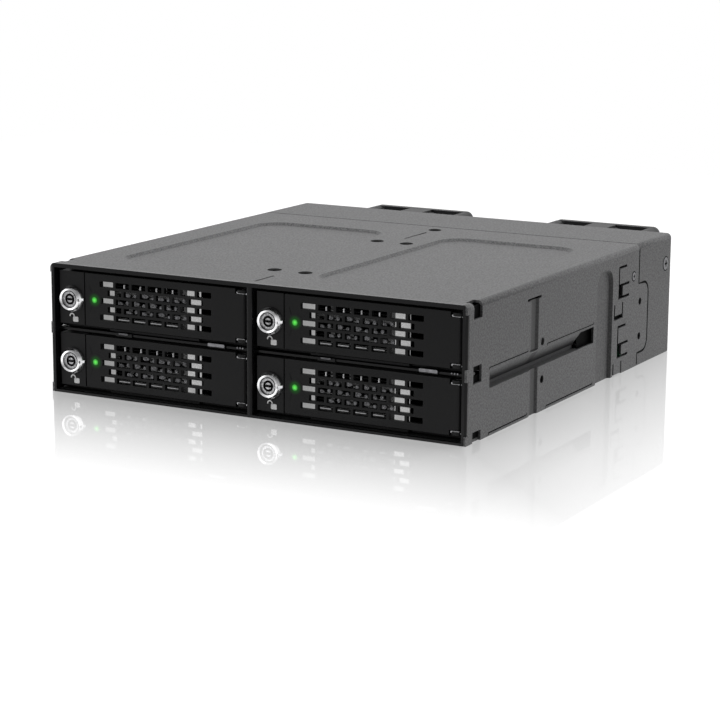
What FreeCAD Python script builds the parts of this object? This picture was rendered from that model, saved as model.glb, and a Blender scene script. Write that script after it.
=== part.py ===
import FreeCAD, Part
import math
import os

from FreeCAD import Vector

os.makedirs("parts", exist_ok=True)

# Hot swap drive cage: four lever-front trays for 2.5 inch drives in one 5.25 inch bay.
# X runs to the viewer's right and Z up. Everything is drawn with y = 0 at the front plane
# and y growing rearwards, then moved so that the origin is the centre of the footprint.

# Case
case_width = 146.0
case_height = 41.3
case_depth = 159.2
sheet = 0.8
bend_radius = 1.6
cover_end = 130.4
seam = 0.2

# Trays and the drives that they take
frame_side = 0.75
drive_length = 100.2
drive_hole_inset = 4.065
drive_holes_from_rear = (14.0, 90.6)
row_clearance = 0.4
tray_floor = 0.8
seat_height = 0.5
run_gap = 0.3
centre_post = 2.0
front_rim = 1.5

# Tray front
row_gap = 2.3
face_setback = 1.5
face_inset = 0.75
face_lift = 0.45
lock_panel_width = 9.45
split_gap = 0.3
door_plate = 1.4
rim_depth = 2.8
rim_width = 0.9
frame_back = 5.0
frame_bar = 1.0

# Vent slots of the door
slot_length = 5.0
slot_height = 1.8
slot_pitch = 6.0
slot_row_pitch = 2.62
slot_rows = 5
slots_per_row = 7
first_slot = 5.725

# Lock
lock_from_edge = 4.65
lock_drop = 0.3
lock_radius = 4.25
lock_stand_out = 2.0
key_radius = 2.5
key_setback = 0.7
keyway_depth = 2.4
keyway_width = 0.8
running = 0.05
button_travel = 1.5
barrel_length = 6.3
block_wall = 0.7
tail_radius = 1.5
tongue_length = 7.4
tongue_width = 2.2
tongue_thickness = 0.8
tongue_gap = 0.4
drive_gap = 1.0

# The hook behind the door that the tongue holds
hook_from_split = 1.225
hook_thickness = 1.0
hook_wall = 1.1
hook_height = 5.2

# Door hinge and indicator
pin_radius = 0.75
pin_from_edge = 2.0
knuckle_radius = 1.55
ear_thickness = 1.0
ear_from_top = 0.3
ear_width = 3.9
ear_corner = 1.7
ear_front = 0.9
indicator_radius = 0.95
indicator_from_split = 3.8
indicator_proud = 0.15

# Plated screen behind the slots
screen_back = 6.7
screen_thickness = 0.6
screen_from_split = 3.425
screen_width = 36.4
screen_end = 4.7
screen_edge = 1.4
screen_rib = 1.2
screen_rows = 3
screen_columns = 4
screen_pitch = 6.4
screen_stagger = 1.2

# Cage inside
wall_thickness = 0.8
rail_thickness = 0.7
rail_width = 5.6
rail_leg = 3.4
rail_leg_thickness = 0.6
rail_start = 12.0
rail_end = 94.0
board = 1.6
board_play = 0.4
backplane_play = 0.6
socket_depth = 5.9
socket_width = 43.0
socket_height = 5.4
socket_wall = 1.1
port_room = 9.2
port_stand_out = 1.0
port_board_low = 2.0
port_board_margin = 2.0
port_board_play = 1.9
contact_setback = 0.6
data_contact_width = 10.6
power_contact_width = 20.9
contact_inset = 2.6
socket_lift = 3.5

# Mounting holes of the bay standard
mount_front = 52.65
mount_spacing = 79.25
mount_low = 10.0
mount_rise = 11.84
mount_radius = 1.25
bottom_mount_inset = 3.15

# Fans
fan_size = 40.0
fan_thickness = 15.0
fan_flange = 2.8
fan_corner = 2.5
fan_wall = 1.0
fan_waist = 0.3
fan_left_from_side = 43.0
fan_right_from_side = 30.0
motor_plate = 1.6
strut_width = 2.2
blade_gap = 0.6
hub_radius = 8.4
hub_front = 1.0
hub_length = 11.4
shaft_radius = 1.0
blade_count = 7
blade_pitch = 38.0
blade_sweep = 3.2
blade_thickness = 0.8
blade_root_chord = 8.6
blade_tip_chord = 10.6

# Side of the main cover
tab_length = 8.6
tab_low = 4.4
tab_high = 28.0
tab_corner = 4.0
front_notches = ((17.5, 22.7), (-1.0, 3.2))
top_notch_depth = 4.8
notch_front = 4.3
notch_rear = 9.8
window_front = 15.2
window_rear = 92.5
window_low = 14.4
window_high = 19.7
louvre_rear = 82.0
louvre_reach = 2.9
louvre_lift = 1.0
louvre_setback = 0.5
fold_depth = 0.25
fold_width = 0.24
fold_breaks = (42.0, 56.3)
channel_front = 95.0
channel_rear = 108.0
channel_from_top = 4.7
channel_corner = 5.0
channel_depth = 1.05
groove_front = 43.4
groove_rear = 49.4
groove_from_top = 5.5
cross_slit_height = 0.8
cross_slit_front = 2.2
cross_slit_rear = 1.7
groove_depth = 0.6
drawn_sheet = 0.5
panel_slope = 1.0
end_tab = 2.9
middle_tab = (18.8, 22.5)
tab_play = 0.1
side_screw_at = (125.8, 31.2)
rear_screw_from_rear = 4.6
rear_screw_level = 31.4
lug_half = 4.0
cover_lug = (4.5, 12.0, 2.6, 4.5)
screw_hole = 1.2
rear_screw_hole = 1.5

# Cuts that free the backplane's clips, from a line in front of it: y from, y to, z from, z to
clip_line = 5.6
clip_cuts = ((0.0, 0.85, 25.3, 36.2), (0.0, 6.8, 35.4, 36.2), (0.0, 9.2, 29.4, 30.25),
             (0.0, 9.2, 25.3, 26.15), (0.0, 3.6, 25.3, 30.25), (-3.4, 4.2, 18.7, 20.2),
             (-3.4, -2.55, 18.7, 24.0), (3.35, 4.2, 18.7, 24.0))

# Roof of the main cover
pad_front = 16.0
pad_rear = 112.0
pad_inner = 11.2
pad_from_side = 13.0
pad_depth = 0.85
pad_slope = 1.3
pad_corner = 9.0
roof_screws_at = ((5.5, 24.5), (-5.5, 24.5), (5.5, 91.5), (-5.5, 91.5), (0.0, 123.3))
roof_slots = ((4.0, 15.0), (101.0, 116.8))
roof_slot_width = 0.9

# Front frame
frame_depth = 3.8
bead_radius = 0.8
sill = 1.3
bar_front = 2.6
bar_rear = 7.0
stop_length = 6.0
stop_height = 1.0
stop_proud = 0.4
stops_at = (23.5, -10.6)

# Partition and brackets
lug_length = 10.0
lug_reach = 9.0
floor_tabs = ((30.0, 40.0), (80.0, 90.0))
tab_end_play = 0.5
bracket_half = 8.0
bracket_rear = 127.0
bracket_drop = 7.5
floor_lug_high = 9.0

# Air openings inside
flange_height = 5.2
flange_from_rear = 9.2
flange_length = 28.5
floor_vent_rows = (126.0, 134.0, 142.0)
floor_vents_at = (-45.0, -27.0, 27.0, 45.0)
floor_vent_length = 12.0
floor_vent_width = 3.0
panel_vent_levels = (8.0, 13.0, 18.0, 23.0, 28.0, 33.0)
panel_vent_from_side = 4.5
panel_vent_length = 15.5
panel_vent_height = 2.2
air_window_rib = 6.0
air_window_margin = 3.925
air_window_low = 1.2
air_window_top = 1.2
carrier_front = 4.5
carrier_nose_front = 3.2
carrier_nose_half = 17.0
carrier_nose_slope = 0.5
carrier_corner = 1.5
carrier_slot_spread = 0.42
carrier_slot_length = 16.0
carrier_slot_width = 3.4
carrier_slot_rows = (38.0, 52.0, 66.0, 80.0)

# Host connectors
port_width = 6.0
port_height = 14.5
port_pitch = 7.6
port_count = 4
port_from_top = 11.9
inlet_width = 24.6
inlet_height = 6.6
inlet_levels = (6.8, 15.6)
port_gap = 0.15
port_wall = 0.9
contact_thickness = 1.2

# What follows from the sizes above
half_width = case_width / 2
wall_x = half_width - sheet
roof = case_height - sheet
end_tabs = ((0.0, end_tab), (case_height - end_tab, case_height))
channel_top = case_height - channel_from_top
groove_top = case_height - groove_from_top
rear_screw_at = (case_depth - rear_screw_from_rear, rear_screw_level)
port_board_at = case_depth - port_room
port_level = case_height - port_from_top
fan_left_x = fan_left_from_side - half_width
fan_right_x = half_width - fan_right_from_side
fan_bore = fan_size / 2 - fan_wall
rotor_radius = fan_bore - blade_gap
rear_most = case_depth + fan_thickness
lock_front = face_setback - lock_stand_out
front_y = -(rear_most + lock_front) / 2
bay_near = centre_post / 2
post_x = wall_x - frame_side
tray_x = (bay_near + post_x) / 2
tray_half = tray_x - bay_near - run_gap
lower_floor = sheet + run_gap
tray_pitch = (case_height - sill - row_clearance) / 2
face_height = tray_pitch - rail_thickness - row_gap
face_top = face_height / 2
face_half = tray_half - face_inset
floor_z = -face_top - face_lift - tray_floor
lower_z = lower_floor - floor_z
upper_z = lower_z + tray_pitch
rail_top = lower_floor + tray_pitch - run_gap
rear_hole_y = mount_front + mount_spacing
lock_rear = lock_front + barrel_length
bore_rear = lock_rear + button_travel + run_gap
block_rear = bore_rear + block_wall
tongue_y = block_rear + tongue_gap
tongue_rear = tongue_y + tongue_thickness
drive_front = tongue_rear + button_travel + drive_gap
drive_rear = drive_front + drive_length
backplane_at = drive_rear + run_gap + socket_depth
board_rear = backplane_at + board
drive_rest = floor_z + tray_floor + seat_height
face_rear = face_setback + door_plate
split_x = -face_half + lock_panel_width
lock_x = -face_half + lock_from_edge
pin_x = tray_half - pin_from_edge
pin_y = face_setback + knuckle_radius
ear_high = face_top - ear_from_top
ear_low = ear_high - ear_thickness
knuckle_half = ear_low - run_gap
bar_level = rail_top - rail_thickness
port_middle = (fan_left_x + fan_right_x) / 2
past = 1.0


def box(x0, x1, y0, y1, z0, z1):
    return Part.makeBox(x1 - x0, y1 - y0, z1 - z0, Vector(x0, y0, z0))


def rod(radius, start, direction, length):
    return Part.makeCylinder(radius, length, Vector(*start), Vector(*direction))


def rect(u0, u1, v0, v1, radius=0.0):
    return [(u0, v0, radius), (u1, v0, radius), (u1, v1, radius), (u0, v1, radius)]


def place(plane, level, u, v):
    if plane == "xy":
        return Vector(u, v, level)
    if plane == "xz":
        return Vector(u, level, v)
    return Vector(level, u, v)


def outline(plane, level, corners):
    """A closed wire through corners (u, v, radius), each rounded by a tangent arc."""
    stops = []
    count = len(corners)
    for i, (u, v, radius) in enumerate(corners):
        corner = Vector(u, v, 0)
        if radius <= 0:
            stops.append((corner, None, corner))
            continue
        to_last = (Vector(*corners[i - 1][:2], 0) - corner).normalize()
        to_next = (Vector(*corners[(i + 1) % count][:2], 0) - corner).normalize()
        half = to_last.getAngle(to_next) / 2
        reach = radius / math.tan(half)
        middle = (to_last + to_next).normalize() * (radius / math.sin(half) - radius)
        stops.append((corner + to_last * reach, corner + middle, corner + to_next * reach))
    edges = []
    for i, (start, middle, end) in enumerate(stops):
        a, b = place(plane, level, start.x, start.y), place(plane, level, end.x, end.y)
        if middle is not None:
            m = place(plane, level, middle.x, middle.y)
            edges.append(Part.Arc(a, m, b).toShape())
        following = stops[(i + 1) % count][0]
        c = place(plane, level, following.x, following.y)
        if b.distanceToPoint(c) > 1e-6:
            edges.append(Part.makeLine(b, c))
    return Part.Wire(edges)


def plate(plane, corners, low, high):
    """An outline in the named plane, extruded along the remaining axis."""
    face = Part.Face(outline(plane, low, corners))
    return face.extrude(place(plane, high - low, 0, 0))


def loft(plane, low, low_corners, high, high_corners):
    wires = [outline(plane, low, low_corners), outline(plane, high, high_corners)]
    return Part.makeLoft(wires, True, True)


def moved(shape, x=0, y=0, z=0):
    copy = shape.copy()
    copy.translate(Vector(x, y, z))
    return copy


def mirrored(shape):
    return shape.mirror(Vector(0, 0, 0), Vector(1, 0, 0))


def both(shapes):
    """The right side's shapes and their mirror images on the left."""
    return shapes + [mirrored(shape) for shape in shapes]


def save(name, *solids):
    """One STEP file for one node, moved from the front plane to the footprint's centre."""
    shape = solids[0] if len(solids) == 1 else Part.makeCompound(list(solids))
    moved(shape, y=front_y).exportStep(f"parts/{name}.step")


def arch(width, height, radius, y0, y1, base=0.0):
    """A solid with a flat bottom and rounded upper corners, running along Y."""
    corners = [(-width / 2, base, 0), (width / 2, base, 0)]
    corners += [(width / 2, height, radius), (-width / 2, height, radius)]
    return plate("xz", corners, y0, y1)


def folded_cover(y0, y1):
    """The roof and both sides, bent from one sheet."""
    inner = arch(2 * wall_x, roof, bend_radius - sheet, y0 - past, y1 + past, -past)
    return arch(case_width, case_height, bend_radius, y0, y1).cut(inner)


# Main cover
def side_emboss(outer, floor, depth):
    """A panel pressed into the right side: what it adds inside and what it removes."""
    skin = half_width - depth - drawn_sheet
    inside = loft("yz", skin, floor, wall_x, outer)
    return inside, loft("yz", half_width - depth, floor, half_width, outer)


def slit(y0, y1, z0, z1):
    """A cut right through the right side, deep enough for the pressed panels too."""
    return box(wall_x - channel_depth - past, half_width + past, y0, y1, z0, z1)


def side_hole(radius, y, z):
    return rod(radius, (wall_x - past, y, z), (1, 0, 0), sheet + 2 * past)


def clip_slits():
    """The cuts that free the backplane's clips, for both rows of trays."""
    y = backplane_at - clip_line
    return [slit(y + y0, y + y1, z0 - lift, z1 - lift)
            for lift in (0, tray_pitch) for y0, y1, z0, z1 in clip_cuts]


def side_cuts():
    """Everything that is cut through the right side of the main cover."""
    cuts = clip_slits()
    cuts += [slit(notch_front, notch_rear, low, high) for low, high in front_notches]
    cuts.append(slit(notch_front, notch_rear, case_height - top_notch_depth, case_height + past))
    cuts.append(slit(window_front, window_rear, window_low, window_high))
    cuts.append(slit(groove_front - cross_slit_front, groove_rear + cross_slit_rear, groove_top,
                     groove_top + cross_slit_height))
    for y in (mount_front, rear_hole_y):
        cuts += [side_hole(mount_radius, y, z) for z in (mount_low, mount_low + mount_rise)]
    cuts.append(side_hole(screw_hole, *side_screw_at))
    # Fold lines above the window and along the bottom edge
    for level in (rail_top, lower_floor - fold_width):
        for y0, y1 in ((window_front, fold_breaks[0]), (fold_breaks[1], window_rear)):
            cuts.append(box(half_width - fold_depth, half_width + past, y0, y1,
                            level - fold_width / 2, level + fold_width / 2))
    return cuts


def louvre():
    """The strip under the fold line, pushed inwards to guide the tray above."""
    low = window_low + louvre_lift
    tip = half_width - louvre_reach
    corners = [(half_width, window_high, 0), (tip, low, 0), (tip - sheet, low, 0),
               (wall_x, window_high, 0)]
    return plate("xz", corners, window_front + louvre_setback, louvre_rear)


def roof_pads():
    """The two panels pressed into the roof: what they add below and what they remove."""
    added, removed = [], []
    outer = half_width - pad_from_side
    for x0, x1 in ((-outer, -pad_inner), (pad_inner, outer)):
        rim = rect(x0, x1, pad_front, pad_rear, pad_corner)
        floor = rect(x0 + pad_slope, x1 - pad_slope, pad_front + pad_slope, pad_rear - pad_slope,
                     pad_corner - pad_slope)
        removed.append(loft("xy", case_height - pad_depth, floor, case_height, rim))
        added.append(loft("xy", roof - pad_depth, floor, roof, rim))
    return added, removed


def front_tabs():
    """The parts of the right side that reach the front between the frame's beads."""
    strip = folded_cover(tab_play, front_rim)
    return [strip.common(box(wall_x, half_width, 0, front_rim, low, high))
            for low, high in end_tabs + (middle_tab,)]


def side_panels():
    """The wide channel and the grooves above and below the window, pressed into the side."""
    rows = [(channel_front, channel_rear, -past, channel_top, channel_corner, channel_depth),
            (groove_front, groove_rear, window_high + run_gap, groove_top, 0.0, groove_depth),
            (groove_front, groove_rear, -past, window_low, 0.0, groove_depth)]
    panels = []
    for y0, y1, z0, z1, corner, depth in rows:
        rim = [(y0, z0, 0), (y1, z0, 0), (y1, z1, corner), (y0, z1, corner)]
        y0, y1 = y0 + panel_slope, y1 - panel_slope
        z1 = z1 - panel_slope if corner else z1
        inner = max(corner - panel_slope, 0)
        floor = [(y0, z0, 0), (y1, z0, 0), (y1, z1, inner), (y0, z1, inner)]
        panels.append(side_emboss(rim, floor, depth))
    return panels


def main_cover():
    cover = folded_cover(front_rim, cover_end)
    tab = plate("yz", rect(cover_end - 2 * tab_corner, cover_end + tab_length, tab_low, tab_high,
                           tab_corner), wall_x, half_width)
    panels = side_panels()
    added, removed = roof_pads()
    added += both([tab] + front_tabs() + [inside for inside, outside in panels])
    removed += both([outside for inside, outside in panels] + side_cuts())
    for x, y in roof_screws_at:
        removed.append(rod(screw_hole, (x, y, roof - past), (0, 0, 1), sheet + 2 * past))
    half = roof_slot_width / 2
    for y0, y1 in roof_slots:
        removed.append(box(-half, half, y0, y1, roof - past, case_height + past))
    removed.append(box(-half_width - past, half_width + past, -past, case_depth, -2 * past, 0))
    cover = cover.fuse(added).cut(removed)
    return cover.fuse(both([louvre()])).removeSplitter()


def rear_cover():
    """The short cover behind the seam, with lugs that pass under the main cover."""
    cover = folded_cover(cover_end + seam, case_depth)
    notch = rect(cover_end - 2 * tab_corner, cover_end + tab_length + seam, tab_low - seam,
                 tab_high + seam, tab_corner + seam)
    y, z = side_screw_at
    front, rear, below, above = cover_lug
    lug = box(wall_x - sheet, wall_x, y - front, y + rear, z - below, z + above)
    cover = cover.cut(plate("yz", notch, -half_width - past, half_width + past))
    cover = cover.fuse(both([lug]))
    return cover.cut(both([side_hole(rear_screw_hole, *rear_screw_at)])).removeSplitter()


def floor_lug():
    """The lug on the floor that the backplane's lower edge is fixed to."""
    return box(-bracket_half, bracket_half, board_rear, board_rear + sheet, sheet, floor_lug_high)


def bottom_plate():
    floor = box(-wall_x, wall_x, front_rim, case_depth - sheet, 0, sheet)
    flange_rear = case_depth - flange_from_rear
    flange = box(wall_x - sheet, wall_x, flange_rear - flange_length, flange_rear, sheet,
                 sheet + flange_height)
    floor = floor.fuse(both([flange]) + [floor_lug()])
    cuts = []
    for y in (mount_front, rear_hole_y):
        hole = rod(mount_radius, (half_width - bottom_mount_inset, y, -past), (0, 0, 1), sheet + 2 * past)
        cuts += both([hole])
    for y0, y1, depth in ((channel_front, channel_rear, channel_depth),
                          (groove_front, groove_rear, groove_depth)):
        cuts += both([box(wall_x - depth, half_width, y0 - run_gap, y1 + run_gap, -past, 2 * past)])
    for y in floor_vent_rows:
        for x in floor_vents_at:
            cuts.append(box(x - floor_vent_length / 2, x + floor_vent_length / 2, y - floor_vent_width / 2,
                            y + floor_vent_width / 2, -past, sheet + past))
    half = roof_slot_width / 2
    for y0, y1 in floor_tabs:
        cuts.append(box(-half, half, y0 - seam, y1 + seam, -past, sheet + past))
    return floor.cut(cuts).removeSplitter()


def rear_panel():
    """The back wall with the fans' bores, the connectors' windows and side air slots."""
    y0, y1 = case_depth - sheet, case_depth
    panel = arch(2 * wall_x, roof, bend_radius - sheet, y0, y1)
    cuts = [rod(rotor_radius, (x, y0 - past, case_height / 2), (0, 1, 0), sheet + 2 * past)
            for x in (fan_left_x, fan_right_x)]
    cuts += port_clearances()
    half = panel_vent_height / 2
    start = panel_vent_from_side - half_width
    cuts += [box(start, start + panel_vent_length, y0 - past, y1 + past, z - half, z + half)
             for z in panel_vent_levels]
    y, z = rear_screw_at
    lug = box(wall_x - sheet, wall_x, y - lug_half, y0, z - lug_half, z + lug_half)
    return panel.cut(cuts).fuse(both([lug])).removeSplitter()


# Host connectors on the small board behind the rear panel
def port_centres():
    return [port_middle + (i - (port_count - 1) / 2) * port_pitch for i in range(port_count)]


def port_clearances():
    y0, y1 = case_depth - sheet - past, case_depth + past
    w, h = port_width / 2 + port_gap, port_height / 2 + port_gap
    cuts = [box(x - w, x + w, y0, y1, port_level - h, port_level + h) for x in port_centres()]
    w, h = inlet_width / 2 + port_gap, inlet_height / 2 + port_gap
    cuts += [box(port_middle - w, port_middle + w, y0, y1, z - h, z + h) for z in inlet_levels]
    return cuts


def connector(x, z, width, height):
    """A rectangular shrouded connector opening rearwards, with its contact tongue."""
    y0, y1 = port_board_at + board, case_depth + port_stand_out
    w, h = width / 2, height / 2
    iw, ih = w - port_wall, h - port_wall
    body = box(x - w, x + w, y0, y1, z - h, z + h)
    body = body.cut(box(x - iw, x + iw, y0 + 2 * port_wall, y1 + past, z - ih, z + ih))
    if width > height:
        tongue = box(x - iw + port_wall, x + iw - port_wall, y0, y1 - port_wall, z - contact_thickness, z)
    else:
        tongue = box(x, x + contact_thickness, y0, y1 - port_wall, z - ih + port_wall, z + ih - port_wall)
    return body.fuse(tongue).removeSplitter()


def port_board():
    half = inlet_width / 2 + port_board_margin
    return box(port_middle - half, port_middle + half, port_board_at, port_board_at + board,
               port_board_low, roof - port_board_play)


def riser_board():
    """The board that carries the signals from the backplane to the host connectors."""
    half = inlet_width / 2
    level = (port_level - port_height / 2 + inlet_levels[1] + inlet_height / 2) / 2
    return box(port_middle - half, port_middle + half, board_rear, port_board_at,
               level - board / 2, level + board / 2)


# Front frame
def bay_opening(side, z0, z1, y0, y1):
    x0, x1 = sorted((side * bay_near, side * post_x))
    return box(x0, x1, y0, y1, z0, z1)


def front_frame():
    """The painted surround that the trays pass through, with beads that show at the sides."""
    top = case_height - sill
    frame = arch(2 * wall_x, roof, bend_radius - sheet, 0, frame_depth)
    frame = frame.cut(box(-wall_x, wall_x, front_rim, frame_depth, 0, sheet))
    lip = plate("xz", rect(-half_width, half_width, 0, case_height, bend_radius), 0, front_rim)
    gaps = [box(wall_x, half_width + past, -past, front_rim + past, low - tab_play, high + tab_play)
            for low, high in end_tabs + (middle_tab,)]
    frame = frame.fuse(lip.cut(both(gaps)))
    softened = [(-half_width, 0, bead_radius), (half_width, 0, bead_radius),
                (half_width, frame_depth, 0), (-half_width, frame_depth, 0)]
    frame = frame.common(plate("xy", softened, 0, case_height))
    cuts = [box(-bay_near, bay_near, -past, frame_depth + past, sheet, top)]
    for side in (1, -1):
        cuts.append(bay_opening(side, sheet, bar_level, -past, frame_depth + past))
        cuts.append(bay_opening(side, rail_top, top, -past, frame_depth + past))
        cuts.append(bay_opening(side, sheet, top, -past, bar_front))
    post = [(-bay_near, 0, bead_radius), (bay_near, 0, bead_radius), (bay_near, frame_depth, 0),
            (-bay_near, frame_depth, 0)]
    bars = [plate("xy", post, sheet, top)]
    for side in (1, -1):
        x0, x1 = sorted((side * bay_near, side * wall_x))
        bars.append(box(x0, x1, bar_front, bar_rear, bar_level, rail_top))
        bars += [tray_stop(side * tray_x + x) for x in stops_at]
    return frame.cut(cuts).fuse(bars).removeSplitter()


def tray_stop(x):
    """A small nib on the bar between the rows."""
    level = (bar_level + rail_top) / 2
    return box(x - stop_length / 2, x + stop_length / 2, bar_front - stop_proud, bar_front,
               level - stop_height / 2, level + stop_height / 2)


# Cage interior
def centre_wall():
    """The partition between the two columns, with lugs under the roof and tabs in slots."""
    half = wall_thickness / 2
    rear = drive_rear - board_play
    wall = box(-half, half, frame_depth, rear, sheet, roof)
    lugs = [box(-lug_reach, lug_reach, y - lug_length / 2, y + lug_length / 2, roof - sheet, roof)
            for y in sorted({y for x, y in roof_screws_at if x})]
    for y0, y1 in roof_slots:
        lugs.append(box(-half, half, y0 + tab_end_play, min(y1, rear) - tab_end_play, roof,
                        case_height - tab_play))
    for y0, y1 in floor_tabs:
        lugs.append(box(-half, half, y0, y1, tab_play, sheet))
    bar_slot = box(-half, half, frame_depth, bar_rear, bar_level, rail_top)
    return wall.fuse(lugs).cut(bar_slot).removeSplitter()


def rail(x, inward):
    """An angle from x that carries the upper tray's edge; inward is the way its shelf points."""
    shelf_x = sorted((x, x + inward * rail_width))
    leg_x = sorted((x, x + inward * rail_leg_thickness))
    shelf = box(*shelf_x, rail_start, rail_end, bar_level, rail_top)
    return shelf.fuse(box(*leg_x, rail_start, rail_end, rail_top, rail_top + rail_leg))


def outer_rail():
    """The right side's angle, cut clear of the groove that is pressed into the cover."""
    low, high = groove_front - panel_slope, groove_rear + panel_slope
    reach = rail_leg_thickness + past
    relief = box(wall_x - reach, wall_x + past, low, high, rail_top, rail_top + rail_leg + past)
    notch = box(wall_x - groove_depth, wall_x + past, low, high, bar_level - past, rail_top + past)
    return rail(wall_x, -1).cut([relief, notch]).removeSplitter()


def backplane():
    """The board that the drives plug into, with air windows above each socket."""
    edge = wall_x - backplane_play
    panel = box(-edge, edge, backplane_at, board_rear, lower_floor + tab_play, roof - 2 * board_play)
    cuts = []
    for x, z in bays().values():
        near, far = air_window_rib / 2, tray_half - air_window_margin
        for x0, x1 in ((x - far, x - near), (x + near, x + far)):
            cuts.append(box(x0, x1, backplane_at - past, board_rear + past, z - air_window_low,
                            z + face_top - air_window_top))
    return panel.cut(cuts).removeSplitter()


def backplane_bracket():
    """The angle that hangs the backplane from the roof."""
    foot = box(-bracket_half, bracket_half, board_rear, bracket_rear, roof - sheet, roof)
    leg = box(-bracket_half, bracket_half, board_rear, board_rear + sheet,
              roof - bracket_drop, roof)
    return foot.fuse(leg).removeSplitter()


def drive_socket():
    """A 22 contact receptacle opening forwards, drawn at the tray's centre."""
    w, h = socket_width / 2, socket_height / 2
    z = drive_rest + socket_lift
    y0, y1 = backplane_at - socket_depth, backplane_at
    body = box(-w, w, y0, y1, z - h, z + h)
    body = body.cut(box(-w + socket_wall, w - socket_wall, y0 - past, y1 - socket_wall,
                        z - h + socket_wall, z + h - socket_wall))
    w -= contact_inset
    y0 += contact_setback
    z1 = z + 2 * contact_thickness / 3
    data = box(w - data_contact_width, w, y0, y1, z1 - contact_thickness, z1)
    power = box(-w, -w + power_contact_width, y0, y1, z1 - contact_thickness, z1)
    return body.fuse([data, power]).removeSplitter()


# Fans, centred on their axis with y from 0 to their thickness
def fan_frame():
    """A square housing with a flange at each end, and the motor plate on four struts."""
    half = fan_size / 2
    flange = plate("xz", rect(-half, half, -half, half, fan_corner), 0, fan_flange)
    duct = rod(half - fan_waist, (0, 0, 0), (0, 1, 0), fan_thickness)
    frame = duct.fuse([flange, moved(flange, y=fan_thickness - fan_flange)])
    frame = frame.cut(rod(fan_bore, (0, -past, 0), (0, 1, 0), fan_thickness + 2 * past))
    front, rear = fan_thickness - motor_plate, fan_thickness
    motor = [rod(hub_radius, (0, front, 0), (0, 1, 0), motor_plate)]
    for i in range(4):
        strut = box(hub_radius - past, fan_bore + fan_wall / 2, front, rear, -strut_width / 2, strut_width / 2)
        strut.rotate(Vector(0, 0, 0), Vector(0, 1, 0), 90 * i + 45)
        motor.append(strut)
    bore = rod(shaft_radius + running, (0, 0, 0), (0, 1, 0), rear - motor_plate / 4)
    return frame.fuse(motor).cut(bore).removeSplitter()


def blade():
    """A flat swept blade on the radius along +X, pitched about it and trimmed to the rotor."""
    root, tip = blade_root_chord / 2, blade_tip_chord / 2
    corners = [(hub_radius - past, -root, 0), (fan_bore, blade_sweep - tip, 0),
               (fan_bore, blade_sweep + tip, 0), (hub_radius - past, root, 0)]
    shape = plate("xz", corners, -blade_thickness / 2, blade_thickness / 2)
    shape.rotate(Vector(0, 0, 0), Vector(1, 0, 0), -blade_pitch)
    shape = moved(shape, y=hub_front + hub_length / 2)
    return shape.common(rod(rotor_radius, (0, 0, 0), (0, 1, 0), fan_thickness))


def fan_rotor():
    """The hub with its shaft and blades."""
    rotor = rod(hub_radius, (0, hub_front, 0), (0, 1, 0), hub_length)
    rotor = rotor.fuse(rod(shaft_radius, (0, hub_front, 0), (0, 1, 0),
                           fan_thickness - motor_plate / 2 - hub_front))
    blades = []
    for i in range(blade_count):
        turned = blade()
        turned.rotate(Vector(0, 0, 0), Vector(0, 1, 0), 360 / blade_count * i)
        blades.append(turned)
    return rotor.fuse(blades).removeSplitter()


# Trays, drawn about the middle of their own front
def carrier():
    """The drive's floor plate, with raised seats and slots for the drive's screws."""
    nose = carrier_nose_half - carrier_nose_slope
    rear_half, rear_edge = tray_half - carrier_corner, drive_rear - carrier_corner
    corners = [(-tray_half, carrier_front, 0), (-carrier_nose_half, carrier_front, 0),
               (-nose, carrier_nose_front, 0), (nose, carrier_nose_front, 0),
               (carrier_nose_half, carrier_front, 0), (tray_half, carrier_front, 0),
               (tray_half, rear_edge, 0), (rear_half, drive_rear, 0), (-rear_half, drive_rear, 0),
               (-tray_half, rear_edge, 0)]
    floor = plate("xy", corners, floor_z, floor_z + tray_floor)
    seats, cuts = [], []
    half = carrier_slot_width / 2
    for x in (tray_half - drive_hole_inset, drive_hole_inset - tray_half):
        for back in drive_holes_from_rear:
            y = drive_rear - back
            seats.append(box(x - 2 * half, x + 2 * half, y - 2 * half, y + 2 * half, floor_z + tray_floor,
                             drive_rest))
            cuts.append(box(x - half, x + half, y - half, y + half, floor_z - past, drive_rest + past))
        for y in carrier_slot_rows:
            start = carrier_slot_spread * x - carrier_slot_length / 2
            cuts.append(box(start, start + carrier_slot_length, y - half, y + half, floor_z - past,
                            drive_rest + past))
    return floor.fuse(seats).cut(cuts).removeSplitter()


def bezel():
    """The moulded front: lock housing, frame behind the door and hinge ears."""
    left, split = -face_half, split_x - split_gap / 2
    inner_top = face_top - frame_bar
    housing = box(left, split, face_setback, block_rear, -face_top, face_top)
    foot = box(left, face_half, frame_back, block_rear, floor_z + tray_floor, -inner_top)
    head = box(left, face_half, frame_back, block_rear, inner_top, face_top)
    post = box(pin_x - pin_from_edge, face_half, frame_back, block_rear, -face_top, face_top)
    half = ear_width / 2
    ear = [(pin_x - half, ear_front, ear_corner), (pin_x + half, ear_front, ear_corner),
           (pin_x + half, frame_back + past, 0), (pin_x - half, frame_back + past, 0)]
    ears = [plate("xy", ear, ear_low, ear_high), plate("xy", ear, -ear_high, -ear_low)]
    body = housing.fuse([foot, head, post] + ears)
    bore = rod(lock_radius + running, (lock_x, 0, -lock_drop), (0, 1, 0), bore_rear)
    room = 2 * tail_radius
    window = box(lock_x - room, lock_x + room, bore_rear - past, block_rear + past,
                 -lock_drop - room, -lock_drop + room)
    pin_hole = rod(pin_radius + running / 2, (pin_x, pin_y, -face_top), (0, 0, 1), face_height)
    return body.cut([bore, window, pin_hole]).removeSplitter()


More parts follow.
